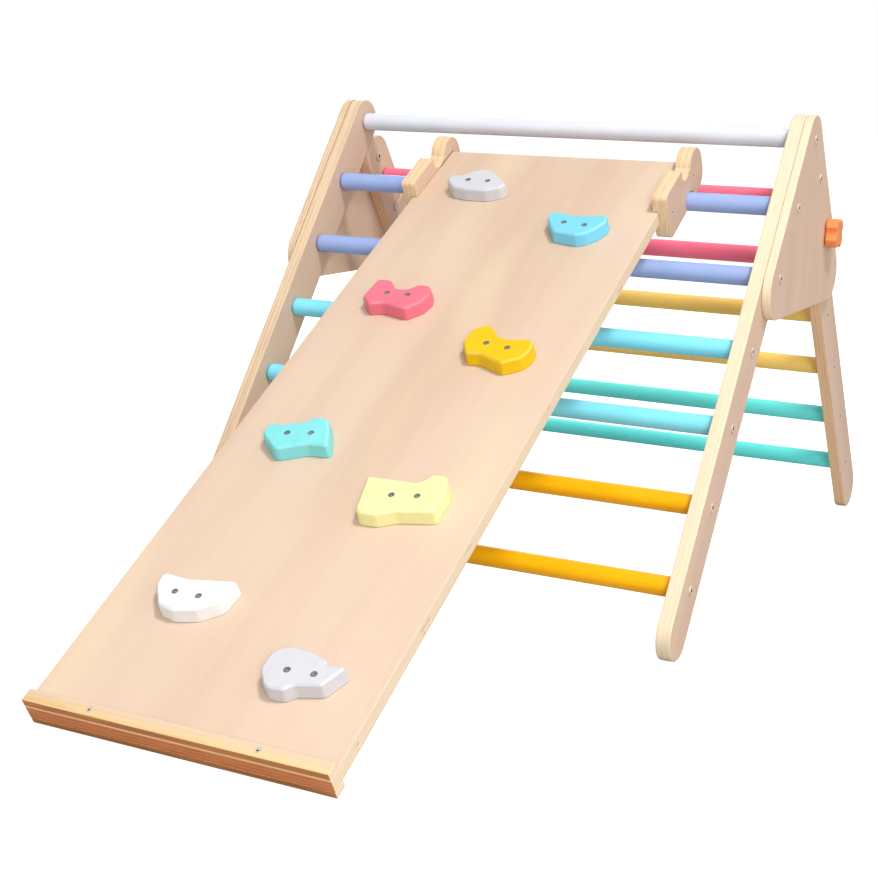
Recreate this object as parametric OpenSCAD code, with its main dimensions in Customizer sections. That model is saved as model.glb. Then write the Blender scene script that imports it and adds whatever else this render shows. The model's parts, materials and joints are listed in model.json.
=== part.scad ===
// Folding climbing triangle for toddlers, with a hook-on ramp.
// Millimetres. +X to the right, +Y to the back, +Z up. The origin is on the
// floor, below the middle of the whole footprint.

/* [Ladders] */
// Clear width between the front legs
inner_w = 725; // [500:5:900]
// Height of the top rung's axis, where both ladders' centre lines meet
apex_h = 664; // [450:1:800]
// How far the front feet stand in front of the top rung
front_run = 496; // [300:1:650]
// How far the rear feet stand behind the top rung
rear_run = 524; // [300:1:650]
// Width of a leg, seen from the side
leg_w = 70; // [50:1:90]
// Thickness of a front leg
front_leg_t = 20; // [15:0.5:27]
// Thickness of a rear leg
rear_leg_t = 19; // [15:0.5:26]
// Side play between a rear leg and the gusset outside it
side_gap = 0.5; // [0.3:0.1:1]
// How much of each rounded foot is planed flat
foot_flat = 0.8; // [0.3:0.1:3]

/* [Rungs] */
// Rung diameter
rung_d = 28; // [22:0.5:35]
// Spacing of the front rungs along the leg
front_pitch = 120.4; // [90:0.1:150]
// Spacing of the rear rungs along the leg
rear_pitch = 123; // [90:0.5:150]
// Distance from the top rung's axis to the first rear rung
rear_first = 117; // [95:1:160]
// Number of front rungs
front_count = 7; // [4:1:8]
// Number of rear rungs
rear_count = 6; // [3:1:7]

/* [Gussets and pivot] */
// Gusset plate thickness
gusset_t = 13; // [9:0.5:18]
// Height of the gussets' lower edge above the floor
gusset_z = 412; // [350:1:500]
// Corner radius at the gussets' two lower corners
gusset_r = 42; // [15:1:60]
// Distance from the top rung's axis down the rear leg to the pivot bolt
pivot_d = 74; // [72:0.5:95]
// Distance from the pivot bolt down the rear leg to the clamp stud
stud_d = 109; // [80:0.5:130]
// Diameter of the pivot bolts and clamp studs
bolt_d = 8; // [6:1:10]
// Radial clearance of a bolt that something turns on
run_gap = 0.05; // [0.01:0.01:0.1]

/* [Clamp knobs] */
// Knob diameter over its lobes
knob_d = 47; // [30:1:56]
// Knob length along its axis
knob_len = 19.5; // [14:0.5:35]
// Number of lobes
knob_lobes = 4; // [3:1:5]

/* [Ramp] */
// Ramp board width
board_w = 400; // [250:5:500]
// Ramp board thickness
board_t = 20; // [15:0.5:25]
// Ramp length below the rung that it hooks on
ramp_down = 1139.6; // [800:0.1:1400]
// Ramp length above that rung
ramp_up = 47.5; // [30:0.5:60]
// Sideways place of the ramp on its rung
ramp_x = 16.5; // [-120:0.5:120]
// Width of the end cleats, along the ramp
cleat_w = 18; // [10:1:30]
// Thickness of each end cleat
cleat_t = 10; // [6:0.5:15]
// Thickness of a hook plate beside the board
hook_t = 15; // [12:0.5:21]
// Depth of the groove in a hook plate that houses the board's edge
hook_lap = 8.5; // [4:0.5:12]
// Half height of the hook plates about the board's middle
hook_half = 36; // [30:0.5:45]
// Distance from the board's middle to the centre of a notch
notch_h = 27; // [24:0.5:32]
// Radial play of the rung in a notch
notch_gap = 0.5; // [0.3:0.1:2]

/* [Climbing holds] */
// Thickness of a hold
hold_t = 21; // [15:1:35]
// Width of the slope around a hold's top
hold_bevel = 4; // [2:0.5:6]
// Distance between a hold's two screws
hold_screw_gap = 33; // [20:1:50]
// Sideways places of the holds, from the foot up
hold_x = [110.5, -84.5, 102, -89, 99, -92.5, 99.5, -95];
// Places of the holds along the ramp, below the hooked rung, from the foot up
hold_down = [1029.5, 954.5, 745, 663.5, 448.5, 358.5, 159.5, 62.5];
// Turns of the holds' screw pairs, from the foot up
hold_turn = [3, 0, 8, 10, -9, 0, -6, 0];

/* [Part] */
// Which part to show

/* [Hidden] */
eps = 0.01;
leg_r = leg_w / 2;
half_w = inner_w / 2;
front_out = half_w + front_leg_t;
rear_in = half_w + front_leg_t - side_gap - rear_leg_t;
rear_out = front_out - side_gap;
gusset_out = front_out + gusset_t;
front_a = atan2(front_run, apex_h);
rear_a = atan2(rear_run, apex_h);
up_f = [sin(front_a), cos(front_a)];
down_r = [sin(rear_a), -cos(rear_a)];

// Slope of the ramp: its lower cleat touches the floor, its notch sits on the rung.
hook_rung_z = apex_h - front_pitch * cos(front_a);
foot_h = notch_h - board_t / 2 - cleat_t;
ramp_a = asin(hook_rung_z / norm([ramp_down, foot_h])) + atan2(foot_h, ramp_down);

// Depth of the footprint, measured from the line of the front feet.
ramp_tip = front_run - front_pitch * sin(front_a) - ramp_down * cos(ramp_a)
    - (foot_h + board_t + 2 * cleat_t) * sin(ramp_a);
rear_tip = front_run + rear_run - (leg_r - foot_flat) * tan(rear_a) + leg_r;
front_y = -(ramp_tip + rear_tip) / 2;

apex = [front_y + front_run, apex_h];
front_foot = [front_y + (leg_r - foot_flat) * tan(front_a), leg_r - foot_flat];
rear_foot = [front_y + front_run + rear_run - (leg_r - foot_flat) * tan(rear_a), leg_r - foot_flat];
pivot = apex + pivot_d * down_r;
stud = apex + (pivot_d + stud_d) * down_r;
function front_rung(i) = apex - i * front_pitch * up_f;
function rear_rung(i) = apex + (rear_first + i * rear_pitch) * down_r;
hook_rung = front_rung(1);

bolt_r = bolt_d / 2;
slot_r = bolt_r + 0.4;
screw_r = 3;
fit = 0.05;
screw_in = 45;
hold_draft = 1.5;

birch = [0.90, 0.77, 0.60];
grey = [0.80, 0.80, 0.82];
periwinkle = [0.58, 0.66, 0.88];
sky = [0.44, 0.80, 0.92];
amber = [0.98, 0.66, 0.08];
red = [0.88, 0.30, 0.42];
ochre = [0.90, 0.70, 0.36];
teal = [0.26, 0.72, 0.66];
pine = [0.93, 0.70, 0.40];
steel = [0.45, 0.44, 0.43];

// ---- helpers ----

// A plate cut to a side-view outline, from x to x + t.
module plate(x, t) translate([x, 0, 0]) rotate([90, 0, 90]) linear_extrude(t) children();

// Both sides: as drawn on the right, and mirrored on the left.
module both_sides() { children(); mirror([1, 0, 0]) children(); }

module side(left) { if (left) mirror([1, 0, 0]) children(); else children(); }

// A bar with round ends from p to q, in side view.
module bar(p, q, w) {
    d = q - p;
    translate(p) rotate(atan2(d[1], d[0])) {
        translate([0, -w / 2]) square([norm(d), w]);
        circle(d = w, $fn = 96);
        translate([norm(d), 0]) circle(d = w, $fn = 96);
    }
}

// Points on an arc about c, from angle a0 to a1.
function arc(c, r, a0, a1, n = 30) =
    [for (k = [0 : n]) c + r * [cos(a0 + (a1 - a0) * k / n), sin(a0 + (a1 - a0) * k / n)]];

// A round bar along X through the side-view point p.
module pin(p, x0, x1, r) translate([x0, p[0], p[1]]) rotate([0, 90, 0]) cylinder(r = r, h = x1 - x0, $fn = 64);

// Corners [x, y, r] listed clockwise become one ring of points, with every corner
// rounded to its own r and the whole ring drawn inwards by d.
function ring(corners, d) = let (n = len(corners)) [for (k = [0 : n - 1])
    each fillet(corners[(k + n - 1) % n], corners[k], corners[(k + 1) % n], d)];

function fillet(before, at, after, d, steps = 5) =
    let (p = [at[0], at[1]], u = away(p, before), v = away(p, after), half = acos(u * v) / 2,
        c = p + (u + v) / norm(u + v) * at[2] / sin(half), to_u = p + u * at[2] / tan(half) - c,
        start = atan2(to_u[1], to_u[0]), outer = cross(u, v) > 0 ? -1 : 1, sweep = outer * (180 - 2 * half))
    [for (k = [0 : steps]) c + (at[2] + outer * d) * [cos(start + sweep * k / steps), sin(start + sweep * k / steps)]];

function away(p, other) = ([other[0], other[1]] - p) / norm([other[0], other[1]] - p);

module hex(p, x0, x1, r) translate([x0, p[0], p[1]]) rotate([0, 90, 0]) cylinder(r = r, h = x1 - x0, $fn = 6);

module below_floor() translate([-800, -1200, -200]) cube([1600, 2400, 200]);

// ---- ladders ----

module front_leg(left) color(birch) side(left) difference() {
    plate(half_w, front_leg_t) bar(front_foot, apex, leg_w);
    for (i = [0 : front_count - 1]) pin(front_rung(i), half_w - 1, front_out + 1, screw_r + fit);
    below_floor();
}

module gusset_outline() {
    lo_f = [front_y + (gusset_z + gusset_r) * tan(front_a) - (leg_r - gusset_r) / cos(front_a), gusset_z + gusset_r];
    lo_r = [front_y + front_run + rear_run - (gusset_z + gusset_r) * tan(rear_a)
        + (leg_r - gusset_r) / cos(rear_a), gusset_z + gusset_r];
    polygon(concat(arc(apex, leg_r, 180 - front_a, rear_a), arc(lo_r, gusset_r, rear_a, -90),
        arc(lo_f, gusset_r, -90, -180 - front_a)));
}

module gusset(left) color(birch) side(left) difference() {
    plate(front_out, gusset_t) gusset_outline();
    for (i = [0 : 2]) pin(front_rung(i), front_out - 1, gusset_out + 1, screw_r + fit);
    for (p = [pivot, stud]) pin(p, front_out - 1, gusset_out + 1, bolt_r + run_gap);
}

module front_rung_at(i, col) color(col) rung(front_rung(i), half_w);

module rung(p, half) difference() {
    pin(p, -half, half, rung_d / 2);
    both_sides() pin(p, half - screw_in - 2, half + 1, screw_r + fit);
}

// A bolt from the outer face at x inwards to the end at x_in.
module rung_bolt(p, x, x_in, head) {
    difference() {
        pin(p, x, x + head, 6.5);
        hex(p, x + head * 0.4, x + head + 1, 2.9);
    }
    pin(p, x_in, x + eps, screw_r);
}

module front_bolts() color(steel) both_sides() for (i = [0 : front_count - 1])
    rung_bolt(front_rung(i), i < 3 ? gusset_out : front_out, half_w - screw_in, 1.8);

// The rear leg turns on the pivot bolt. Its slot is open at the rear edge, so
// that it swings off the clamp stud when the ladder is folded.
module stud_slot() {
    a = rear_a - 90;
    translate(stud) circle(slot_r, $fn = 64);
    translate(pivot) intersection() {
        difference() {
            circle(stud_d + slot_r, $fn = 160);
            circle(stud_d - slot_r, $fn = 160);
        }
        polygon([[0, 0], 200 * [cos(a), sin(a)], 200 * [cos(a + 35), sin(a + 35)]]);
    }
}

module rear_leg(left) color(birch) side(left) difference() {
    plate(rear_in, rear_leg_t) difference() {
        bar(rear_foot, pivot, leg_w);
        stud_slot();
    }
    pin(pivot, rear_in - 1, rear_out + 1, bolt_r + run_gap);
    for (i = [0 : rear_count - 1]) {
        pin(rear_rung(i), rear_in - 1, rear_out + 1, screw_r + fit);
        pin(rear_rung(i), rear_out - 3, rear_out + 1, 6.5 + fit);
    }
    below_floor();
}

module rear_rung_at(i, col) color(col) rung(rear_rung(i), rear_in);

module rear_bolts() color(steel) both_sides() for (i = [0 : rear_count - 1])
    rung_bolt(rear_rung(i), rear_out - 3 + eps, rear_in - screw_in, 2.8);

// A through bolt with a low head outside and a flanged sleeve nut inside.
module pivot_bolts() color(steel) both_sides() difference() {
    union() {
        pin(pivot, gusset_out, gusset_out + 1.8, 6.5);
        pin(pivot, rear_in - 2, gusset_out + eps, bolt_r);
        pin(pivot, rear_in - 2.1, rear_in - 0.3, 8);
    }
    hex(pivot, gusset_out + 0.7, gusset_out + 3, 2.9);
    hex(pivot, rear_in - 4, rear_in - 1.2, 2.9);
}

// ---- clamp knobs ----

module knob(left) color([0.96, 0.58, 0.34]) side(left) difference() {
    x = gusset_out + 0.4;
    union() {
        pin(stud, x, x + 3, knob_d * 0.3);
        pin(stud, x + 2.5, x + knob_len, knob_d / 2);
    }
    for (a = [1 : knob_lobes]) pin(stud + knob_d * 0.617 * [cos(a * 360 / knob_lobes), sin(a * 360 / knob_lobes)],
        x - 1, x + knob_len + 1, knob_d * 0.255);
    pin(stud, gusset_out, gusset_out + knob_len - 6, bolt_r + fit);
}

module clamp_stud(left) color(steel) side(left) {
    pin(stud, rear_in - 1, gusset_out + knob_len - 6.5, bolt_r);
    pin(stud, rear_in - 2.1, rear_in - 0.3, 9);
}

// ---- ramp: drawn flat, with +Y up the slope and the hooked rung's axis at 0 ----

board_z = notch_h - board_t / 2;

module on_ramp() translate([ramp_x, hook_rung[0], hook_rung[1]]) rotate([ramp_a, 0, 0]) children();

module at_holds() for (i = [0 : 7]) translate([hold_x[i], -hold_down[i], board_z + board_t])
    rotate(hold_turn[i]) children();

module screw_pair(gap) for (sx = [-1, 1]) translate([sx * gap / 2, 0, 0]) children();

module cleat_spots() for (x = [-110, 110]) translate([x, cleat_w / 2 - ramp_down, 0]) children();

// Where the screws go in through a hook plate, in side view.
hook_spots = [[-70, notch_h], [30, notch_h]];

module ramp_board() color(birch) on_ramp() difference() {
    board_blank();
    at_holds() screw_pair(hold_screw_gap) translate([0, 0, -15]) cylinder(r = 2 + fit, h = 16, $fn = 32);
    cleat_spots() translate([0, 0, board_z - 1]) cylinder(r = 2 + fit, h = board_t + 2, $fn = 32);
    both_sides() for (p = hook_spots) pin(p, board_w / 2 - 32, board_w / 2 + 1, 2 + fit);
}

// A square with its front corners rounded by rf and its rear ones by rr.
module block(y0, y1, h, rf, rr) {
    translate([y0, -h + rf]) square([y1 - y0, 2 * (h - rf)]);
    translate([y0 + rf, -h]) square([y1 - y0 - rf - rr, 2 * h]);
    for (s = [-1, 1]) {
        translate([y0 + rf, s * (h - rf)]) circle(rf, $fn = 48);
        translate([y1 - rr, s * (h - rr)]) circle(rr, $fn = 48);
        translate([y1 - rf, s * (h - rr) - (s > 0 ? rf : 0)]) square([rf, rf]);
    }
}

// Hook plate: a block, a waist with a notch above and below, and a round lobe.
module hook_outline() translate([0, notch_h]) difference() {
    notch = rung_d / 2 + notch_gap;
    union() {
        block(-88, -notch, hook_half, 8, 4);
        translate([-notch - 5, -18]) square([notch + 48, 36]);
        for (s = [-1, 1]) translate([43.5, s * 6.2]) circle(28.5, $fn = 96);
        translate([15, -6.2]) square([57, 12.4]);
    }
    for (s = [-1, 1]) translate([0, s * notch_h]) circle(notch, $fn = 64);
}

module board_blank() translate([-board_w / 2, -ramp_down, board_z]) cube([board_w, ramp_down + ramp_up, board_t]);

module ramp_hook(left) color(birch) on_ramp() side(left) difference() {
    plate(board_w / 2 - hook_lap, hook_t + hook_lap) hook_outline();
    board_blank();
    for (p = hook_spots) {
        pin(p, board_w / 2 - 1, board_w / 2 + hook_t + 1, 2 + fit);
        pin(p, board_w / 2 + hook_t - 2.4, board_w / 2 + hook_t + 1, 4.4 + fit);
    }
}

module hook_screws() color(steel) on_ramp() both_sides() for (p = hook_spots) {
    x = board_w / 2 + hook_t;
    pin(p, board_w / 2 - 30, x - 2, 2);
    difference() {
        pin(p, x - 2.3, x, 4.4);
        pin(p, x - 1, x + 1, 1.6);
    }
}

module cleat(z0) translate([-board_w / 2, -ramp_down, z0]) cube([board_w, cleat_w, cleat_t]);

module ramp_cleat_top() color(pine) on_ramp() difference() {
    cleat(board_z + board_t);
    cleat_spots() translate([0, 0, board_z]) {
        cylinder(r = 2 + fit, h = 60, $fn = 32);
        translate([0, 0, board_t + cleat_t - 2.4]) cylinder(r = 4 + fit, h = 10, $fn = 48);
    }
}

module ramp_cleat_bottom() color(pine) difference() {
    on_ramp() difference() {
        cleat(board_z - cleat_t);
        cleat_spots() translate([0, 0, board_z - cleat_t + 2.5]) cylinder(r = 2 + fit, h = 60, $fn = 32);
    }
    translate([0, 0, foot_flat]) below_floor();
}

module cleat_screws() color(steel) on_ramp() cleat_spots() {
    top = board_z + board_t + cleat_t;
    translate([0, 0, board_z - cleat_t + 3]) cylinder(r = 2, h = board_t + 2 * cleat_t - 5, $fn = 32);
    translate([0, 0, top - 2.3]) difference() {
        cylinder(r = 4, h = 2.3, $fn = 48);
        translate([0, 0, 1.3]) cylinder(r = 1.5, h = 2, $fn = 24);
    }
}

// A solid whose rings are drawn inwards by each level's [inset, height].
module tapered(corners, levels) {
    rings = [for (level = levels) [for (p = ring(corners, level[0])) [p[0], p[1], level[1]]]];
    n = len(rings[0]);
    polyhedron([for (r = rings) each r], concat([[for (k = [0 : n - 1]) n - 1 - k], [for (k = [0 : n - 1]) 2 * n + k]],
        [for (j = [0, n], k = [0 : n - 1]) let (m = (k + 1) % n) [j + k, j + m, j + n + m, j + n + k]]));
}

// A hold: steep sides on its foot outline, a slope around the flat top, and two screw holes.
module hold(i, corners, col) color(col) on_ramp()
    translate([hold_x[i], -hold_down[i], board_z + board_t]) difference() {
        intersection() {
            tapered(corners, [[-hold_draft / (hold_t - 3), -1], [hold_draft, hold_t - 3],
                [hold_bevel + (hold_bevel - hold_draft) / 6, hold_t + 0.5]]);
            translate([-100, -100, 0]) cube([200, 200, hold_t]);
        }
        rotate(hold_turn[i]) screw_pair(hold_screw_gap) {
            translate([0, 0, -1]) cylinder(r = 2 + fit, h = hold_t + 2, $fn = 32);
            translate([0, 0, hold_t - 2.4]) cylinder(r = 4 + fit, h = 5, $fn = 48);
        }
    }

module hold_screws() color(steel) on_ramp() at_holds() screw_pair(hold_screw_gap) {
    translate([0, 0, -14]) cylinder(r = 2, h = hold_t + 12, $fn = 32);
    translate([0, 0, hold_t - 2.3]) difference() {
        cylinder(r = 4, h = 2.3, $fn = 48);
        translate([0, 0, 1.3]) cylinder(r = 1.5, h = 2, $fn = 24);
    }
}

// ---- one line per node ----

front_leg(true);  // front_leg_left
front_leg(false);  // front_leg_right
gusset(true);  // gusset_left
gusset(false);  // gusset_right
front_rung_at(0, grey);  // front_rung_1
front_rung_at(1, periwinkle);  // front_rung_2
front_rung_at(2, periwinkle);  // front_rung_3
front_rung_at(3, sky);  // front_rung_4
front_rung_at(4, sky);  // front_rung_5
front_rung_at(5, amber);  // front_rung_6
front_rung_at(6, amber);  // front_rung_7
front_bolts();
pivot_bolts();
rear_leg(true);  // rear_leg_left
rear_leg(false);  // rear_leg_right
rear_rung_at(0, red);  // rear_rung_1
rear_rung_at(1, red);  // rear_rung_2
rear_rung_at(2, ochre);  // rear_rung_3
rear_rung_at(3, ochre);  // rear_rung_4
rear_rung_at(4, teal);  // rear_rung_5
rear_rung_at(5, teal);  // rear_rung_6
rear_bolts();
knob(true);  // knob_left
knob(false);  // knob_right
clamp_stud(true);  // clamp_stud_left
clamp_stud(false);  // clamp_stud_right
ramp_board();
ramp_hook(true);  // ramp_hook_left
ramp_hook(false);  // ramp_hook_right
ramp_cleat_top();
ramp_cleat_bottom();
hold(0, [[-50, -7, 20], [-48.5, 25, 20], [-26.5, 35, 16], [3.5, 31.5, 12],  // hold_1
    [22.5, 24, 5], [24, 19, 3], [51, 23, 5], [32.5, -12.5, 5], [2, -19.5, 8], [-8.5, -29, 9], [-32.5, -30.5, 16]], grey);
hold(1, [[-51.5, 29, 9], [-14, 24.5, 30], [53, 35, 5], [48.5, -3, 14],  // hold_2
    [24, -21.5, 16], [-6, -29, 18], [-28, -24.5, 14], [-48.5, 4, 16]], [0.97, 0.97, 0.96]);
hold(2, [[-63.5, 25.5, 5.5], [9, 27, 12], [18.5, 44.5, 6], [39, 44.5, 7],  // hold_3
    [50, 17.5, 14], [47.5, -2.5, 12], [51, -19.5, 5.5], [1.5, -28.5, 10], [-22.5, -40, 14], [-51, -40, 11]],
    [0.99, 0.97, 0.66]);
hold(3, [[-53.5, -10, 16], [-52, 16, 7], [-33, 12.5, 12], [-19, 19.5, 10],  // hold_4
    [-6, 22, 8], [4, 35, 8], [25, 36, 6], [37, 17, 30], [53, -18, 5.5], [21, -18.5, 14], [-19, -37, 12]],
    [0.50, 0.90, 0.90]);
hold(4, [[-52.5, 1, 12], [-49.5, 31, 14], [-31, 43, 10], [-19, 38.5, 8],  // hold_5
    [-7, 23, 14], [9, 16, 16], [36, 22.5, 10], [47, 18, 8], [50.5, -1, 16], [44, -20.5, 16], [19.5, -36, 6],
    [-18, -21.5, 12], [-37.5, -23, 6]], amber);
hold(5, [[-52, -12.5, 8], [-47, 32.5, 8], [-23, 32.5, 10], [-8.5, 14.5, 12],  // hold_6
    [8.5, 13, 14], [21, 27, 9], [41, 27.5, 9], [49.5, 6.5, 16], [44, -14.5, 16], [25.5, -33, 8],
    [-13.5, -24, 14], [-34.5, -29.5, 6]], [0.96, 0.42, 0.52]);
hold(6, [[-47.5, 9, 12], [-46, 29, 6], [-28, 27, 12], [-4, 21, 40],  // hold_7
    [42, 29, 6], [46.5, 10, 12], [37, -9.5, 20], [24, -23.5, 16], [11, -28.5, 6], [-26.5, -22, 5.5]],
    [0.42, 0.84, 0.94]);
hold(7, [[-54.5, -2, 12], [-47.5, 15, 8], [-31.5, 14.5, 10], [-19.5, 28, 14],  // hold_8
    [2.5, 34.5, 16], [17.5, 27.5, 12], [51, -4, 6], [44.5, -16.5, 12], [22.5, -26.5, 16], [-11.5, -26.5, 30],
    [-35.5, -22, 16]], grey);
hold_screws();
hook_screws();
cleat_screws();
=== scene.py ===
import json
import math

import bmesh
import bpy
from mathutils import Matrix, Vector


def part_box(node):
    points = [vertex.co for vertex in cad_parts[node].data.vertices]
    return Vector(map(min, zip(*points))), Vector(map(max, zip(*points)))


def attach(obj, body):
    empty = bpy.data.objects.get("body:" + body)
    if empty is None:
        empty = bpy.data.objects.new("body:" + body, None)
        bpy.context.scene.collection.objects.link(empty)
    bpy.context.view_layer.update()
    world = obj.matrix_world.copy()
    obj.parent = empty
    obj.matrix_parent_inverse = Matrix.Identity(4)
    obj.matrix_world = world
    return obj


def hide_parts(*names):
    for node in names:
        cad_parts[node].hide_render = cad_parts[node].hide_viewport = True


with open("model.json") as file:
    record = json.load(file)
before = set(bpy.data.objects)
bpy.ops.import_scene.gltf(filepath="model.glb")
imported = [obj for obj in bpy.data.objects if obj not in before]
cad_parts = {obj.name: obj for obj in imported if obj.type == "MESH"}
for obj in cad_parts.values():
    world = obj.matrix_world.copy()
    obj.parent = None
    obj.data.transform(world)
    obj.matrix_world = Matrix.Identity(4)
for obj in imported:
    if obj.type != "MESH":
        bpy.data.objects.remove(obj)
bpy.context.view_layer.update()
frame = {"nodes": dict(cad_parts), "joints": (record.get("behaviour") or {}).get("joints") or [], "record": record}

MM = 0.001
X_AXIS = Vector((1, 0, 0))
Z_AXIS = Vector((0, 0, 1))
BODY_OF = {node: body for body, nodes in frame["record"]["behaviour"]["bodies"].items() for node in nodes}
SLOT_OF = {part["node"]: part["material_slot"] for part in frame["record"]["subparts"]}


# ---- directions and places, from the frame ----

def middle(node):
    low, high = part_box(node)
    return (low + high) / 2


def joint(name):
    return next(j for j in frame["joints"] if j["name"] == name)


FRONT_LEG_DIR = (middle("front_rung_1") - middle("front_rung_7")).normalized()
REAR_LEG_DIR = (middle("rear_rung_1") - middle("rear_rung_6")).normalized()
RAMP_NORMAL = Vector(joint("ramp_lift")["axis"]).normalized()
RAMP_UP = RAMP_NORMAL.cross(X_AXIS)
# Turns a direction in the ramp's own frame (X, up the slope, off the board) into the object's frame.
RAMP_TURN = Matrix((X_AXIS, RAMP_UP, RAMP_NORMAL)).transposed().to_4x4()


def span(node, direction):
    """The lowest and highest reach of a CAD node along a direction, in metres."""
    reach = [v.co.dot(direction) for v in frame["nodes"][node].data.vertices]
    return min(reach), max(reach)


# ---- materials ----

def srgb(red, green, blue):
    """A linear colour from the 0 to 255 values a screen shows."""
    def linear(value):
        value /= 255
        return value / 12.92 if value <= 0.04045 else ((value + 0.055) / 1.055) ** 2.4
    return (linear(red), linear(green), linear(blue), 1.0)


class Graph:
    """A material's node tree, with a short call for each kind of node."""

    def __init__(self, name):
        self.material = bpy.data.materials.new(name)
        self.material.use_nodes = True
        self.tree = self.material.node_tree
        self.shader = self.tree.nodes["Principled BSDF"]

    def link(self, value, socket):
        if isinstance(value, bpy.types.NodeSocket):
            self.tree.links.new(value, socket)
        else:
            socket.default_value = value

    def node(self, kind, inputs, output=0, **settings):
        made = self.tree.nodes.new("ShaderNode" + kind)
        for key, value in settings.items():
            setattr(made, key, value)
        for key, value in inputs.items():
            self.link(value, made.inputs[key])
        return made.outputs[output]

    def math(self, operation, a, b=0.0):
        return self.node("Math", {0: a, 1: b}, operation=operation)

    def mix(self, share, low, high):
        """The low colour where share is 0, and the high one where it is 1."""
        return self.node("Mix", {0: share, 6: low, 7: high}, output=2, data_type="RGBA")

    def shade(self, colour, factor):
        """The colour times a factor that varies over the surface."""
        colour = colour if isinstance(colour, bpy.types.NodeSocket) else colour[:3]
        return self.node("VectorMath", {0: colour, 3: factor}, operation="SCALE")

    def remap(self, value, low, high, to_low=0.0, to_high=1.0):
        """A smooth step from to_low, where the value is low, to to_high, where it is high."""
        return self.node("MapRange", {0: value, 1: low, 2: high, 3: to_low, 4: to_high},
                         interpolation_type="SMOOTHSTEP")

    def noise(self, spot, scale, detail=3.0, roughness=0.55):
        return self.node("TexNoise", {"Vector": spot, "Scale": scale, "Detail": detail,
                                      "Roughness": roughness})

    def spot(self):
        """The place on the object, in its own coordinates."""
        return self.node("TexCoord", {}, output="Object")

    def dot(self, vector, direction):
        return self.node("VectorMath", {0: vector, 1: direction}, output=1, operation="DOT_PRODUCT")

    def coordinates(self, *axes):
        """The object's own coordinates, measured along each axis."""
        spot = self.spot()
        return [self.dot(spot, axis) for axis in axes]

    def turned(self, direction):
        """How far the surface faces a direction: 1, or -1 where it faces away."""
        return self.dot(self.node("TexCoord", {}, output="Normal"), direction)

    def facing(self, direction):
        """How far the surface faces a direction, or its opposite: 0 to 1."""
        return self.math("ABSOLUTE", self.turned(direction))

    def stretched(self, parts, scales, offset):
        """A vector of the coordinates, each times its own scale."""
        scaled = [self.math("MULTIPLY", part, scale) for part, scale in zip(parts, scales)]
        shifted = self.math("ADD", scaled[0], offset)
        return self.node("CombineXYZ", {0: shifted, 1: scaled[1], 2: scaled[2]})

    def bump(self, height, distance, strength):
        normal = self.node("Bump", {"Height": height, "Distance": distance, "Strength": strength})
        self.link(normal, self.shader.inputs["Normal"])

    def gloss(self, specular, coat, coat_roughness):
        self.shader.inputs["Specular IOR Level"].default_value = specular
        self.shader.inputs["Coat Weight"].default_value = coat
        self.shader.inputs["Coat Roughness"].default_value = coat_roughness

    def finish(self, colour, roughness):
        self.link(colour, self.shader.inputs["Base Color"])
        self.link(roughness, self.shader.inputs["Roughness"])
        return self.material


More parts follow.
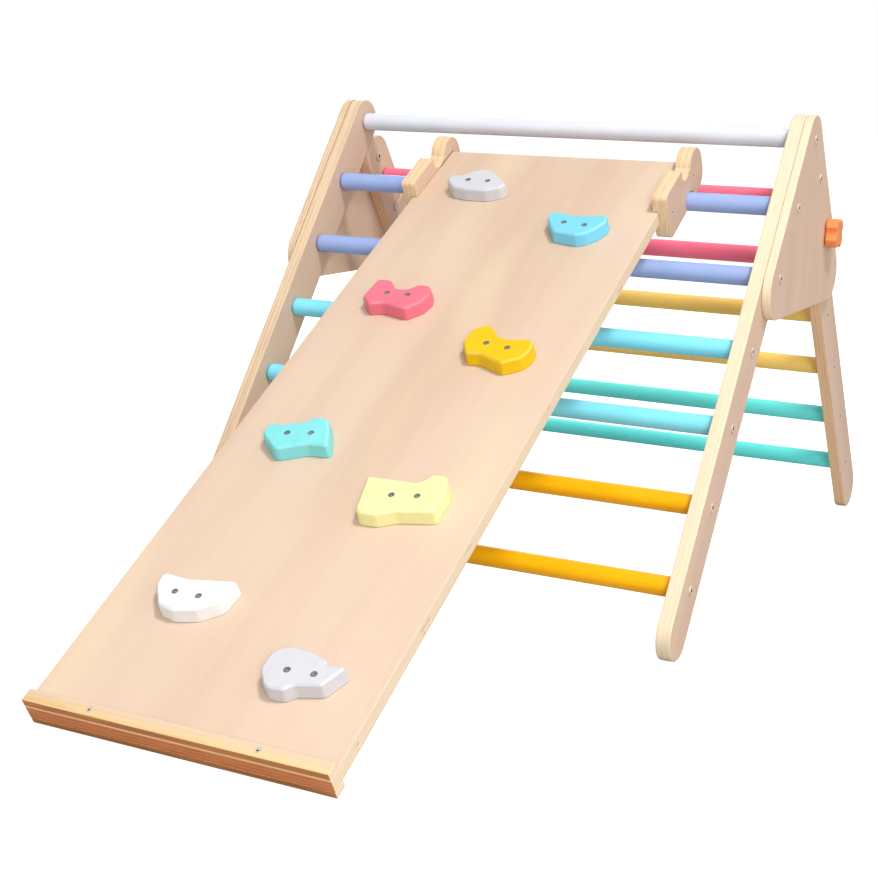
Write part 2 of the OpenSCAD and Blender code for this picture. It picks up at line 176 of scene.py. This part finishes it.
def plywood(name, along, through, reach, plies, tones, seed, sawn=None, seam=None):
    """Birch plywood: a veneered face with long faint grain, and plies that show on every edge.

    along is the grain's direction and through the way across the plies, from reach[0] to reach[1]. A noise's
    three scales are per metre along the grain and in the two directions across it.
    sawn is the light, dark and outermost plies' colours on the ends, where they differ from the edges: the end
    grain's own orange, darkened further as painted shade of the end that faces down the slope.
    seam is the place across the plies where another plate lies against this one, and the edge there is darkened
    with painted shade of the crease between the two plates."""
    g = Graph(name)
    parts = g.coordinates(along, through.cross(along), through)

    bands = g.noise(g.stretched(parts, (0.8, 8, 8), seed), 1.0, detail=2)
    streaks = g.noise(g.stretched(parts, (4, 95, 95), seed + 3), 1.0, detail=3)
    pores = g.noise(g.stretched(parts, (40, 1300, 1300), seed + 7), 1.0, detail=2)
    tone = g.math("ADD", g.math("MULTIPLY", g.remap(bands, 0.32, 0.68), 0.84),
                  g.math("MULTIPLY", g.remap(streaks, 0.3, 0.7), 0.16))
    flame = g.noise(g.stretched(parts, (2.2, 7, 7), seed + 41), 1.0, detail=1)
    face = g.mix(g.remap(flame, 0.5, 0.7, 0.0, 0.4), g.mix(tone, *tones["face"]), tones["flame"])
    face = g.shade(face, g.remap(pores, 0.3, 0.62, 0.985, 1.005))

    depth = g.math("MULTIPLY", g.math("SUBTRACT", parts[2], reach[0]), plies / (reach[1] - reach[0]))
    waver = g.noise(g.stretched(parts, (12, 30, 0), seed + 11), 1.0, detail=2)
    depth = g.math("ADD", depth, g.math("MULTIPLY", g.math("SUBTRACT", waver, 0.5), 0.5))
    ply = g.math("PINGPONG", depth, 1.0)
    patchy = g.noise(g.stretched(parts, (3, 20, 40), seed + 23), 1.0, detail=2)
    crossed = g.math("MULTIPLY", g.remap(ply, 0.35, 0.65), g.remap(patchy, 0.3, 0.65, 0.4, 1.0))
    broken = g.noise(g.stretched(parts, (7, 60, 260), seed + 29), 1.0, detail=3)
    glue = g.math("MULTIPLY", g.remap(g.math("ABSOLUTE", g.math("SUBTRACT", ply, 0.5)), 0.16, 0.04),
                  g.remap(broken, 0.42, 0.60, 0.0, tones["lines"]))
    fibre = g.noise(g.stretched(parts, (30, 260, 900), seed + 17), 1.0, detail=3)
    edge = g.mix(glue, g.mix(crossed, *tones["ply"]), tones["line"])
    edge = g.shade(edge, g.remap(fibre, 0.3, 0.7, 0.96, 1.02))
    # Painted shade in the crease where another plate lies against this one.
    if seam is not None:
        touching = g.remap(g.math("ABSOLUTE", g.math("SUBTRACT", parts[2], seam)), 0.9 * MM, 0.4 * MM)
        edge = g.mix(touching, edge, SEAM_SHADE)

    colour = g.mix(g.remap(g.facing(through), 0.72, 0.94), edge, face)
    # On the ends: the end grain's own orange, darkened further with painted shade.
    if sawn:
        light, dark, outermost = sawn
        darkened = g.math("MULTIPLY", g.remap(ply, 0.3, 0.7), g.remap(patchy, 0.35, 0.6, 0.3, 1.0))
        last_ply = g.remap(parts[2], reach[1] - 2.6 * MM, reach[1] - 1.8 * MM)
        end = g.mix(last_ply, g.mix(darkened, light, dark), outermost)
        colour = g.mix(g.remap(g.facing(along), 0.2, 0.45), colour, end)
    height = g.math("ADD", g.math("MULTIPLY", streaks, 0.5), g.math("MULTIPLY", pores, 0.5))
    g.bump(height, 0.0002, 0.4)
    g.gloss(0.35, 0.06, 0.35)
    return g.finish(colour, g.remap(streaks, 0.2, 0.8, 0.48, 0.60))


def pine(name, light, dark, front, end, upper, seed, reach):
    """Pine strip with its grain along X.

    front is the tone of the face turned down the slope, darker than the rest as painted shade of that face, and
    end that of the sawn ends. The wide faces fade to the upper tone between the two places in reach, going up the
    slope."""
    g = Graph(name)
    parts = g.coordinates(X_AXIS, RAMP_UP, RAMP_NORMAL)
    rings = g.noise(g.stretched(parts, (1.6, 60, 60), seed), 1.0, detail=3, roughness=0.6)
    fibre = g.noise(g.stretched(parts, (14, 700, 700), seed + 5), 1.0, detail=3)
    darker_left = g.remap(parts[0], -0.2, 0.2, 1.0, 0.15)
    lines = g.math("PINGPONG", g.math("MULTIPLY", rings, 7.0), 0.5)
    tone = g.math("MULTIPLY", g.remap(lines, 0.0, 0.4, 0.3, 1.0), darker_left)
    # Painted shade: the face turned down the slope takes the darker front tone, with its grain lines.
    front_shade = g.shade(front, g.remap(lines, 0.0, 0.5, 0.80, 1.10))
    wide = g.mix(g.remap(parts[1], *reach), g.mix(tone, light, dark), upper)
    colour = g.mix(g.remap(g.turned(-RAMP_UP), 0.55, 0.9), wide, front_shade)
    colour = g.mix(g.remap(g.facing(X_AXIS), 0.6, 0.9), colour, end)
    colour = g.shade(colour, g.remap(fibre, 0.3, 0.7, 0.94, 1.03))
    g.bump(g.math("ADD", rings, fibre), 0.0003, 0.45)
    g.gloss(0.4, 0.12, 0.3)
    return g.finish(colour, g.remap(fibre, 0.2, 0.8, 0.40, 0.55))


def painted(name, colour, along, seed, contact_shade, edge_normal=None):
    """Satin paint over wood: the grain shows as a faint relief, a flat top's rim is a little lighter, partly wear
    and partly painted highlight, and painted shade darkens it next to the wood it is mounted on.

    A direction and two distances along it, given after the seed, set where the paint darkens to half towards the
    wood that the piece is mounted on: painted shade, where that wood shades the piece. edge_normal points off a
    flat top whose rim is painted a little lighter, partly for wear and partly as a painted highlight."""
    g = Graph(name)
    side = along.orthogonal().normalized()
    parts = g.coordinates(along, side, side.cross(along))
    grain = g.noise(g.stretched(parts, (9, 260, 260), seed), 1.0, detail=4, roughness=0.6)
    cloud = g.noise(g.stretched(parts, (14, 30, 30), seed + 4), 1.0, detail=2)
    tint = g.math("MULTIPLY", g.remap(grain, 0.25, 0.75, 0.97, 1.02),
                  g.remap(cloud, 0.3, 0.7, 0.975, 1.015))
    paint = g.shade(colour, tint)
    if edge_normal is not None:
        # Partly wear, partly painted highlight: the top's rim is mixed a little towards near-white.
        turned = g.turned(edge_normal)
        rim = g.math("MULTIPLY", g.remap(turned, 0.25, 0.6), g.remap(turned, 0.97, 0.80))
        wear_and_highlight = g.math("MULTIPLY", rim, g.remap(cloud, 0.35, 0.7, 0.02, 0.10))
        paint = g.mix(wear_and_highlight, paint, (1.0, 0.97, 0.92, 1.0))
    direction, clear, touching = contact_shade
    near = g.math("ABSOLUTE", g.coordinates(direction)[0])
    # Painted shade: darker towards the leg or board that the piece is mounted on.
    paint = g.shade(paint, g.remap(near, clear, touching, 1.0, 0.5))
    speck = g.noise(g.spot(), 900.0, detail=2)
    g.bump(g.math("ADD", g.math("MULTIPLY", grain, 0.7), g.math("MULTIPLY", speck, 0.3)), 0.00018, 0.4)
    g.gloss(0.25, 0.05, 0.25)
    return g.finish(paint, g.remap(cloud, 0.25, 0.75, 0.38, 0.50))


def zinc(name, light, dark, inside, seed):
    """Plated steel with fine scratches, and a separate tone inside the sockets; where that tone is dark, it is
    painted shade of the recess.
    """
    g = Graph(name)
    spot = g.spot()
    scratch = g.noise(spot, 1800.0, detail=3)
    patch = g.noise(spot, 160.0 + seed, detail=2)
    socket = g.node("Attribute", {}, output="Fac", attribute_name="socket")
    colour = g.mix(socket, g.mix(g.remap(patch, 0.3, 0.7), light, dark), inside)
    g.shader.inputs["Metallic"].default_value = 0.12
    g.bump(scratch, 0.00012, 0.4)
    return g.finish(colour, g.remap(scratch, 0.3, 0.7, 0.38, 0.52))


def moulded(name, colour):
    """Moulded plastic with a fine sparked surface."""
    g = Graph(name)
    spot = g.spot()
    pits = g.noise(spot, 1500.0, detail=2)
    cloud = g.noise(spot, 90.0, detail=2)
    tint = g.shade(colour, g.remap(cloud, 0.3, 0.7, 0.95, 1.03))
    g.bump(pits, 0.00015, 0.35)
    g.gloss(0.35, 0.0, 0.3)
    return g.finish(tint, g.remap(cloud, 0.25, 0.75, 0.38, 0.48))


# face and ply are each a light and a dark tone, and flame is the tone of broad yellower patches on the
# face. line is the tone of the glue lines, and lines is how strongly they show.
VENEER = {"face": (srgb(219, 191, 169), srgb(208, 176, 153)), "flame": srgb(220, 192, 160)}
PALE_BIRCH = VENEER | {"ply": (srgb(236, 218, 188), srgb(232, 213, 182)),
                       "line": srgb(172, 132, 94), "lines": 0.3}
TAN_BIRCH = VENEER | {"ply": (srgb(232, 205, 172), srgb(222, 191, 156)),
                      "line": srgb(126, 82, 54), "lines": 0.65}
# The rear legs' ply edges are warmer and darker than the front legs': painted shade of their edges that face down
# and forward.
WARM_SHADED_BIRCH = VENEER | {"ply": (srgb(243, 202, 162), srgb(232, 184, 140)),
                       "line": srgb(150, 100, 66), "lines": 0.5}
HOOK_BIRCH = VENEER | {"ply": (srgb(238, 207, 168), srgb(229, 195, 154)),
                       "line": srgb(150, 104, 68), "lines": 0.4}
BOARD_BIRCH = {"face": (srgb(219, 194, 172), srgb(208, 180, 156)), "flame": srgb(230, 208, 176),
               "ply": (srgb(236, 215, 187), srgb(229, 203, 171)),
               "line": srgb(190, 146, 106), "lines": 0.35}
# The light, dark and outermost plies of the board's sawn end: the end grain's own orange, darkened further as
# painted shade of the end that faces down the slope.
SHADED_SAWN_END = (srgb(214, 134, 82), srgb(196, 112, 62), srgb(244, 196, 142))
# Painted shade in the crease where a leg and the gusset beside it meet.
SEAM_SHADE = srgb(100, 70, 48)
THICK_PLIES = 7
THIN_PLIES = 5


def plate_birch(node, along, plies, tones, seed, seam=None):
    return plywood(node, along, X_AXIS, span(node, X_AXIS), plies, tones, seed, seam=seam)


# ---- meshes ----

# How far the edges of each kind of piece are rounded.
EASE = {"front_leg": 1.3 * MM, "rear_leg": 1.5 * MM, "gusset": 1.1 * MM, "knob": 1.0 * MM, "rung": 1.2 * MM,
        "board": 0.8 * MM, "hook": 1.5 * MM, "cleat": 1.2 * MM, "bolt": 0.45 * MM}


def corners_of(points):
    points = list(points)
    return (Vector([min(p[k] for p in points) for k in range(3)]),
            Vector([max(p[k] for p in points) for k in range(3)]))


def edge_groups(edges):
    """Edges joined into groups that touch."""
    left, groups = set(edges), []
    while left:
        group, front = [], [left.pop()]
        while front:
            edge = front.pop()
            group.append(edge)
            for vert in edge.verts:
                for other in vert.link_edges:
                    if other in left:
                        left.remove(other)
                        front.append(other)
        groups.append(group)
    return groups


def group_size(group):
    low, high = corners_of(v.co for e in group for v in e.verts)
    return max(high - low)


def finished(name, bm, material, body, *stands_for, smooth_angle=32):
    """Makes bm an object with smooth rounded edges and flat faces, which rides on body."""
    bmesh.ops.recalc_face_normals(bm, faces=bm.faces)
    mesh = bpy.data.meshes.new(name)
    bm.to_mesh(mesh)
    bm.free()
    for polygon in mesh.polygons:
        polygon.use_smooth = True
    mesh.set_sharp_from_angle(angle=math.radians(smooth_angle))
    mesh.materials.append(material)
    made = bpy.data.objects.new(name, mesh)
    bpy.context.scene.collection.objects.link(made)
    weighted = made.modifiers.new("flat faces", "WEIGHTED_NORMAL")
    weighted.keep_sharp = True
    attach(made, body)
    if stands_for:
        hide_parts(*stands_for)
    return made


def rounded(node, material, width, hole_width=0.3 * MM, hole_size=20 * MM, segments=3, corner=28,
            socket=None):
    """A copy of a CAD node, its edges rounded to width and the rims of its small holes to hole_width.

    Edges count where they turn by more than corner degrees. socket is the axis and reach of mark_sockets."""
    bm = bmesh.new()
    bm.from_mesh(frame["nodes"][node].data)
    bmesh.ops.remove_doubles(bm, verts=bm.verts, dist=1e-6)
    bmesh.ops.dissolve_limit(bm, angle_limit=math.radians(0.4), verts=bm.verts, edges=bm.edges)
    sharp = [e for e in bm.edges if e.is_manifold and e.calc_face_angle() > math.radians(corner)]
    groups = edge_groups(sharp)
    small = [e for group in groups if group_size(group) < hole_size for e in group]
    large = [e for group in groups if group_size(group) >= hole_size for e in group]
    for edges, reach in ((small, hole_width), (large, width)):
        if edges and reach > 0:
            bmesh.ops.bevel(bm, geom=edges, offset=reach, offset_type="OFFSET", segments=segments,
                            profile=0.5, affect="EDGES", clamp_overlap=False, loop_slide=False)
    if socket:
        mark_sockets(bm, *socket)
    return finished("shown_" + node, bm, material, BODY_OF[node], node)


def mark_sockets(bm, axis, reach):
    """Sets "socket" to 1 on the faces that lie within reach of their screw's own axis."""
    layer = bm.faces.layers.float.new("socket")
    for group in edge_groups(bm.edges):
        low, high = corners_of(v.co for e in group for v in e.verts)
        centre = (low + high) / 2
        for face in {face for e in group for face in e.link_faces}:
            offsets = [v.co - centre for v in face.verts]
            face[layer] = float(all((o - axis * o.dot(axis)).length < reach for o in offsets))


def skinned(bm, rings):
    """Joins each ring of vertices to the next with faces, and closes the first and the last."""
    for ring, following in zip(rings, rings[1:]):
        for k in range(len(ring)):
            n = (k + 1) % len(ring)
            bm.faces.new((ring[k], ring[n], following[n], following[k]))
    bm.faces.new(rings[0])
    bm.faces.new(rings[-1])


def lathe(profile, steps=48):
    """A bmesh turned about X from (x, radius) points, closed at both ends."""
    bm = bmesh.new()
    rings = []
    for x, radius in profile:
        turn = [2 * math.pi * k / steps for k in range(steps)]
        rings.append([bm.verts.new((x, radius * math.cos(a), radius * math.sin(a))) for a in turn])
    skinned(bm, rings)
    return bm


def rung(node, material):
    """A round bar with eased ends, where the CAD node is."""
    low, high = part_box(node)
    centre = (low + high) / 2
    radius = (high.z - low.z) / 2
    half = (high.x - low.x) / 2
    angles = [math.radians(degrees) for degrees in range(0, 91, 15)]
    corner = [(half - EASE["rung"] * (1 - math.sin(a)), radius - EASE["rung"] * (1 - math.cos(a)))
              for a in angles]
    profile = [(-x, r) for x, r in reversed(corner)] + corner
    bm = lathe(profile)
    bmesh.ops.translate(bm, verts=bm.verts, vec=centre)
    return finished("shown_" + node, bm, material, BODY_OF[node], node, smooth_angle=40)


# ---- climbing holds ----

# Each step up a hold's side: how far in from its foot outline, and how high, in millimetres.
HOLD_SIDE = ((0.5, 0.0), (0.12, 0.25), (0.07, 0.8), (1.4, 16.9), (1.5, 17.6), (1.74, 18.2), (2.05, 18.66),
             (3.5, 20.4), (3.82, 20.72), (4.2, 20.92), (4.7, 21.0))
HOLD_SPACING = 1.0 * MM
# The well round each screw head. Its cutter reaches WELL_SPARE above the hold, to cut clean through the top.
WELL_RADIUS = 4.3 * MM
WELL_DEPTH = 2.6 * MM
WELL_SPARE = 4 * MM


def foot_outline(bm, height):
    """The CAD hold's own foot: the widest ring of edges at that height, as points in order."""
    at_foot = [e for e in bm.edges if all(abs(v.co.z - height) < 0.01 * MM for v in e.verts)
               and e.calc_face_angle(0) > math.radians(60)]
    left = set(max(edge_groups(at_foot), key=group_size))
    vert = next(iter(left)).verts[0]
    outline = []
    while left:
        edge = next(e for e in vert.link_edges if e in left)
        left.remove(edge)
        outline.append(vert.co.copy())
        vert = edge.other_vert(vert)
    turn = sum(a.x * b.y - a.y * b.x for a, b in zip(outline, outline[1:] + outline[:1]))
    return outline if turn > 0 else outline[::-1]


def evened(outline):
    """The outline with points HOLD_SPACING apart, eased a little where its facets meet."""
    steps = []
    for start, end in zip(outline, outline[1:] + outline[:1]):
        count = max(1, round((end - start).length / HOLD_SPACING))
        steps += [start.lerp(end, k / count) for k in range(count)]
    for _ in range(4):
        following = steps[1:] + steps[:1]
        before = steps[-1:] + steps[:-1]
        steps = [(a + 2 * b + c) / 4 for a, b, c in zip(before, steps, following)]
    return steps


def inset(outline, distance):
    """The outline moved inwards by distance."""
    moved = []
    for k, point in enumerate(outline):
        tangent = (outline[(k + 1) % len(outline)] - outline[k - 1]).normalized()
        moved.append(point + Vector((-tangent.y, tangent.x, 0)) * distance)
    return moved


def screw_places(node, to_ramp):
    """The middles of a node's separate solids, in the ramp's frame."""
    bm = bmesh.new()
    bm.from_mesh(frame["nodes"][node].data)
    bmesh.ops.remove_doubles(bm, verts=bm.verts, dist=1e-6)
    boxes = [corners_of(to_ramp @ v.co for e in group for v in e.verts) for group in edge_groups(bm.edges)]
    bm.free()
    return [(low + high) / 2 for low, high in boxes]


def carved(made, cutter):
    """Cuts the cutter's shape out of an object's mesh, for good."""
    cut = made.modifiers.new("cut", "BOOLEAN")
    cut.operation, cut.solver, cut.object = "DIFFERENCE", "EXACT", cutter
    made.modifiers.move(len(made.modifiers) - 1, 0)
    weighted = made.modifiers["flat faces"]
    weighted.show_viewport = False
    bpy.context.view_layer.update()
    cut_mesh = bpy.data.meshes.new_from_object(made.evaluated_get(bpy.context.evaluated_depsgraph_get()))
    made.modifiers.remove(cut)
    weighted.show_viewport = True
    made.data = cut_mesh
    bpy.data.objects.remove(cutter)


def cutter_from(bm):
    mesh = bpy.data.meshes.new("cutter")
    bm.to_mesh(mesh)
    bm.free()
    cutter = bpy.data.objects.new("cutter", mesh)
    bpy.context.scene.collection.objects.link(cutter)
    return cutter


def screw_wells(places, top):
    """A cutter: one cylinder for each screw head, from WELL_DEPTH below the top to WELL_SPARE above it."""
    bm = bmesh.new()
    for place in places:
        spot = Matrix.Translation((place.x, place.y, top + (WELL_SPARE - WELL_DEPTH) / 2))
        bmesh.ops.create_cone(bm, cap_ends=True, segments=40, radius1=WELL_RADIUS, radius2=WELL_RADIUS,
                              depth=WELL_DEPTH + WELL_SPARE, matrix=RAMP_TURN @ spot)
    return cutter_from(bm)


def hold(node, material, screws):
    """A climbing hold: steep sides on the CAD outline, and an eased slope round a flat top."""
    bm = bmesh.new()
    bm.from_mesh(frame["nodes"][node].data)
    bmesh.ops.remove_doubles(bm, verts=bm.verts, dist=1e-6)
    bmesh.ops.transform(bm, matrix=RAMP_TURN.inverted(), verts=bm.verts)
    low, high = corners_of(v.co for v in bm.verts)
    outline = evened(foot_outline(bm, low.z))
    bm.free()

    bm = bmesh.new()
    rings = []
    rise = (high.z - low.z) / HOLD_SIDE[-1][1]
    for step_in, step_up in HOLD_SIDE:
        height = low.z + step_up * rise
        rings.append([bm.verts.new((p.x, p.y, height)) for p in inset(outline, step_in * MM)])
    skinned(bm, rings)
    bmesh.ops.transform(bm, matrix=RAMP_TURN, verts=bm.verts)
    made = finished("shown_" + node, bm, material, BODY_OF[node], node)
    own = [place for place in screws if low.x < place.x < high.x and low.y < place.y < high.y]
    carved(made, screw_wells(own, high.z))


# Each gap's place up from the board's lower end, its length and its height over the underside, all in mm.
CORE_GAPS = ((350, 21, 12), (229, 24, 11), (222, 7, 5), (57, 6, 10), (612, 9, 13), (880, 16, 6))
CORE_GAP_DEPTH = 14 * MM
CORE_GAP_HEIGHT = 2.0 * MM


def core_gaps():
    """A cutter for the short open joints in the board's core that show in its right edge."""
    to_ramp = RAMP_TURN.inverted()
    low, high = corners_of(to_ramp @ v.co for v in frame["nodes"]["ramp_board"].data.vertices)
    bm = bmesh.new()
    for up, length, height in CORE_GAPS:
        centre = Vector((high.x, low.y + up * MM, low.z + height * MM))
        size = Matrix.Diagonal((2 * CORE_GAP_DEPTH, length * MM, CORE_GAP_HEIGHT, 1.0))
        bmesh.ops.create_cube(bm, size=1.0, matrix=RAMP_TURN @ Matrix.Translation(centre) @ size)
    return cutter_from(bm)


# ---- the object ----

def build_ladders():
    for seed, side, tones in ((4, "left", TAN_BIRCH), (5, "right", PALE_BIRCH)):
        front, rear, gusset, knob = (part + side for part in ("front_leg_", "rear_leg_", "gusset_", "knob_"))
        rounded(front, plate_birch(front, FRONT_LEG_DIR, THICK_PLIES, tones, seed), EASE["front_leg"])
        rounded(rear, plate_birch(rear, REAR_LEG_DIR, THICK_PLIES, WARM_SHADED_BIRCH, 20 + seed), EASE["rear_leg"])
        seam = min(span(gusset, X_AXIS), key=abs)
        rounded(gusset, plate_birch(gusset, Z_AXIS, THIN_PLIES, tones, 40 + seed, seam), EASE["gusset"])
        rounded(knob, moulded(knob, srgb(243, 143, 84)), EASE["knob"], hole_width=0)
    paints = {
        "paint_grey": (222, 225, 234), "paint_periwinkle": (158, 179, 230), "paint_sky": (137, 232, 255),
        "paint_amber": (255, 184, 0), "paint_red": (255, 122, 150), "paint_ochre": (255, 216, 116),
        "paint_teal": (108, 236, 234),
    }
    rungs = [node for node in frame["nodes"] if "_rung_" in node]
    for seed, node in enumerate(sorted(rungs)):
        end = span(node, X_AXIS)[1]
        # Painted shade at the rung's ends, where the legs shade it.
        contact_shade = (X_AXIS, end - 6 * MM, end - 1 * MM)
        rung(node, painted(node, srgb(*paints[SLOT_OF[node]]), X_AXIS, 5 * seed, contact_shade))


def build_ramp():
    reach = span("ramp_board", RAMP_NORMAL)
    wood = plywood("ramp_board", RAMP_UP, RAMP_NORMAL, reach, THICK_PLIES, BOARD_BIRCH, 60, SHADED_SAWN_END)
    carved(rounded("ramp_board", wood, EASE["board"]), core_gaps())
    for seed, node in ((74, "ramp_hook_left"), (75, "ramp_hook_right")):
        rounded(node, plate_birch(node, RAMP_UP, THIN_PLIES, HOOK_BIRCH, seed), EASE["hook"])
    # The third tone is the cleats' down-slope face: a darker orange-brown, painted shade.
    light, dark, front = srgb(230, 202, 150), srgb(222, 178, 116), srgb(190, 124, 66)
    end, upper = srgb(236, 212, 180), srgb(219, 194, 168)
    for seed, node in ((90, "ramp_cleat_top"), (91, "ramp_cleat_bottom")):
        wood = pine(node, light, dark, front, end, upper, seed, span(node, RAMP_UP))
        rounded(node, wood, EASE["cleat"])
    paints = {
        "hold_grey": (205, 205, 211), "hold_white": (232, 233, 233), "hold_yellow": (238, 235, 168),
        "hold_turquoise": (130, 218, 222), "hold_amber": (232, 189, 0), "hold_pink": (232, 116, 136),
        "hold_cyan": (120, 206, 238),
    }
    screws = screw_places("hold_screws", RAMP_TURN.inverted())
    holds = sorted(node for node in frame["nodes"] if node.startswith("hold_") and node != "hold_screws")
    for seed, node in enumerate(holds):
        foot = span(node, RAMP_NORMAL)[0]
        # Painted shade round each hold's foot, where it meets the board.
        contact_shade = (RAMP_NORMAL, foot + 1.4 * MM, foot + 0.3 * MM)
        paint = painted(node, srgb(*paints[SLOT_OF[node]]), RAMP_UP, 7 * seed, contact_shade, RAMP_NORMAL)
        hold(node, paint, screws)


def build_hardware():
    """The bolts and screws, each with its axis, its socket's reach, and its light, dark and inner tones. The dark
    inner tones are painted shade in the sockets.
    """
    # The dark third tones of pale and ringed are painted shade inside the sockets.
    pale = (srgb(232, 208, 186), srgb(204, 182, 162), srgb(60, 50, 44))
    plain = (srgb(128, 129, 130), srgb(92, 93, 94), srgb(150, 151, 152))
    ringed = (srgb(222, 212, 196), srgb(188, 178, 162), srgb(84, 74, 66))
    hex_reach, cross_reach = 2.98 * MM, 1.8 * MM
    bolts = ("front_bolts", "pivot_bolts", "rear_bolts", "clamp_stud_left", "clamp_stud_right")
    rows = [(node, X_AXIS, hex_reach, pale) for node in bolts]
    rows += [("hook_screws", X_AXIS, cross_reach, pale), ("hold_screws", RAMP_NORMAL, cross_reach, plain),
             ("cleat_screws", RAMP_NORMAL, cross_reach, ringed)]
    for seed, (node, axis, reach, tones) in enumerate(rows):
        rounded(node, zinc(node, *tones, seed), EASE["bolt"], hole_width=0.35 * MM, hole_size=30 * MM,
                segments=2, socket=(axis, reach))


# ---- studio ----

FLOOR_ALBEDO = 0.45
FLOOR_GLOW = 0.85
SKY_GLOW = 0.55


def soft_floor():
    """A pale floor that lights the object as grey card would, and is white to look at."""
    bm = bmesh.new()
    bmesh.ops.create_grid(bm, x_segments=2, y_segments=2, size=40)
    mesh = bpy.data.meshes.new("floor")
    bm.to_mesh(mesh)
    bm.free()
    floor = bpy.data.objects.new("floor", mesh)
    floor.location.z = -0.5 * MM
    bpy.context.scene.collection.objects.link(floor)
    g = Graph("floor")
    seen = g.node("LightPath", {}, output="Is Camera Ray")
    g.shader.inputs["Emission Color"].default_value = (1, 1, 1, 1)
    g.link(g.math("MULTIPLY", seen, FLOOR_GLOW), g.shader.inputs["Emission Strength"])
    cloud = g.noise(g.spot(), 3.0)
    grey = (FLOOR_ALBEDO, FLOOR_ALBEDO, FLOOR_ALBEDO, 1)
    mesh.materials.append(g.finish(grey, g.remap(cloud, 0.3, 0.7, 0.8, 0.9)))


def soft_sky():
    """A white backdrop to look at, and a dimmer, even glow that lights the object from all round."""
    world = bpy.data.worlds.new("studio")
    bpy.context.scene.world = world
    world.use_nodes = True
    nodes, links = world.node_tree.nodes, world.node_tree.links
    seen = nodes.new("ShaderNodeLightPath")
    strength = nodes.new("ShaderNodeMath")
    strength.operation = "MULTIPLY_ADD"
    strength.inputs[1].default_value = 1.0 - SKY_GLOW
    strength.inputs[2].default_value = SKY_GLOW
    links.new(seen.outputs["Is Camera Ray"], strength.inputs[0])
    links.new(strength.outputs[0], nodes["Background"].inputs["Strength"])
    nodes["Background"].inputs["Color"].default_value = (1, 1, 1, 1)


def area_light(name, place, target, size, power, colour):
    """A round lamp of size metres across and power watts, turned to the target."""
    data = bpy.data.lights.new(name, "AREA")
    data.shape = "DISK"
    data.size = size
    data.energy = power
    data.color = colour
    lamp = bpy.data.objects.new(name, data)
    lamp.location = place
    lamp.rotation_mode = "QUATERNION"
    lamp.rotation_quaternion = (Vector(target) - Vector(place)).to_track_quat("-Z", "Y")
    bpy.context.scene.collection.objects.link(lamp)


def camera(place, yaw, pitch, roll, lens):
    """A camera turned yaw to the left of +Y, pitched down and rolled, in degrees."""
    yaw, pitch, roll = (math.radians(a) for a in (yaw, pitch, roll))
    ahead = Vector((-math.sin(yaw) * math.cos(pitch), math.cos(yaw) * math.cos(pitch), -math.sin(pitch)))
    level = Vector((math.cos(yaw), math.sin(yaw), 0))
    upright = level.cross(ahead)
    right = level * math.cos(roll) + upright * math.sin(roll)
    data = bpy.data.cameras.new("camera")
    data.lens = lens
    data.sensor_width = 36
    made = bpy.data.objects.new("camera", data)
    made.matrix_world = (Matrix.Translation(place)
                         @ Matrix((right, right.cross(ahead), -ahead)).transposed().to_4x4())
    bpy.context.scene.collection.objects.link(made)
    bpy.context.scene.camera = made


build_ladders()
build_ramp()
build_hardware()
soft_floor()
soft_sky()
area_light("key", (2.34, -2.0, 5.3), (0, -0.2, 0.2), 1.1, 200, (1.0, 0.99, 0.97))
area_light("front", (2.2, -3.4, 1.5), (0, 0, 0.3), 1.2, 62, (1.0, 0.99, 0.97))
area_light("side", (3.5, -1.2, 1.1), (0, 0, 0.3), 2.2, 14, (1.0, 0.98, 0.95))
area_light("back", (-2.0, 3.4, 1.5), (0, 0, 0.3), 2.5, 50, (1.0, 0.99, 0.97))
camera((0.9885, -2.1287, 0.7123), 26.48, 11.93, 1.76, 66.2)
bpy.context.scene.view_settings.view_transform = "Standard"
